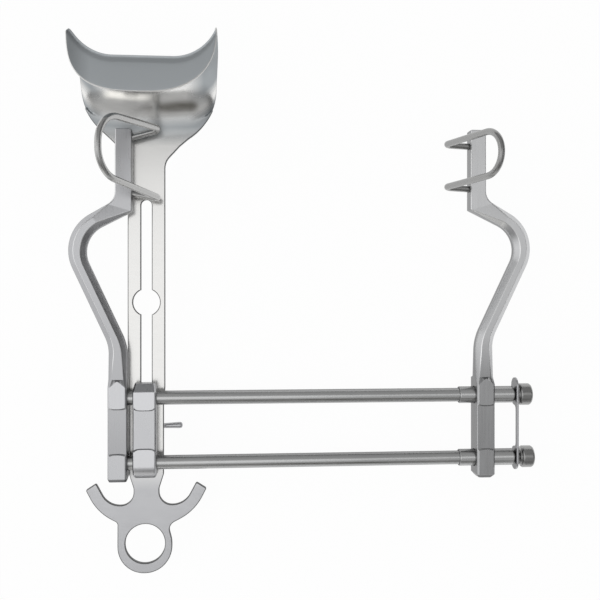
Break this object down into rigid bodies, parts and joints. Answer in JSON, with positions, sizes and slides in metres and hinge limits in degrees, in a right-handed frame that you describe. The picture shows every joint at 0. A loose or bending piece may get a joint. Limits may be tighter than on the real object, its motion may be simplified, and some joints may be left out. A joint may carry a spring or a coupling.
{
  "type": "abdominal retractor",
  "caption": "self-retaining abdominal retractor: wire side blades on a fixed and a sliding arm on parallel rods, with a curved centre blade on a slotted shank clamped to a carriage",
  "frame": {"origin": "centre of the fixed arm block's flat back face, halfway between the two rods", "axes": "+X along the rods to the sliding arm, +Y up the arms to the centre blade, +Z from the flat back towards the side the blades stand on"},
  "size_m": [0.2562, 0.2864, 0.0629],
  "materials": {
    "bright_steel": "stainless steel, polished to a soft mirror",
    "satin_steel": "stainless steel, satin",
    "brushed_steel": "stainless steel, fine brushed",
    "rod_steel": "stainless steel, ground and polished bar"
  },
  "bodies": {
    "frame": {"fixed_arm": "satin_steel", "fixed_wire_blade": "brushed_steel", "upper_rod": "rod_steel", "lower_rod": "rod_steel", "end_link": "bright_steel"},
    "sliding_arm": {"sliding_arm": "satin_steel", "sliding_wire_blade": "brushed_steel", "upper_sleeve": "brushed_steel", "lower_sleeve": "brushed_steel"},
    "carriage": {"carriage": "satin_steel", "clamp_stud": "bright_steel", "clamp_washer": "bright_steel"},
    "centre_blade": {"centre_blade": "bright_steel"},
    "clamp_nut": {"clamp_nut": "satin_steel", "clamp_lever": "bright_steel"},
    "upper_thumb_screw": {"upper_thumb_screw": "brushed_steel"},
    "lower_thumb_screw": {"lower_thumb_screw": "brushed_steel"}
  },
  "joints": [
    {"name": "arm_slide", "type": "slide", "parent": "frame", "child": "sliding_arm", "axis": [1, 0, 0], "range_m": [-0.13, 0.0008]},
    {"name": "carriage_slide", "type": "slide", "parent": "frame", "child": "carriage", "axis": [1, 0, 0], "range_m": [-0.0023, 0.13]},
    {"name": "blade_slide", "type": "slide", "parent": "carriage", "child": "centre_blade", "axis": [0, 1, 0], "range_m": [-0.0025, 0.018]},
    {"name": "clamp_turn", "type": "hinge", "parent": "carriage", "child": "clamp_nut", "pos_m": [0.0143, 0, -0.0075], "axis": [0, 0, 1], "range_deg": [-90, 0]},
    {"name": "upper_screw_turn", "type": "hinge", "parent": "frame", "child": "upper_thumb_screw", "pos_m": [0.2207, 0.0175, 0.007], "axis": [1, 0, 0], "continuous": true},
    {"name": "lower_screw_turn", "type": "hinge", "parent": "frame", "child": "lower_thumb_screw", "pos_m": [0.2219, -0.0175, 0.007], "axis": [1, 0, 0], "continuous": true}
  ]
}
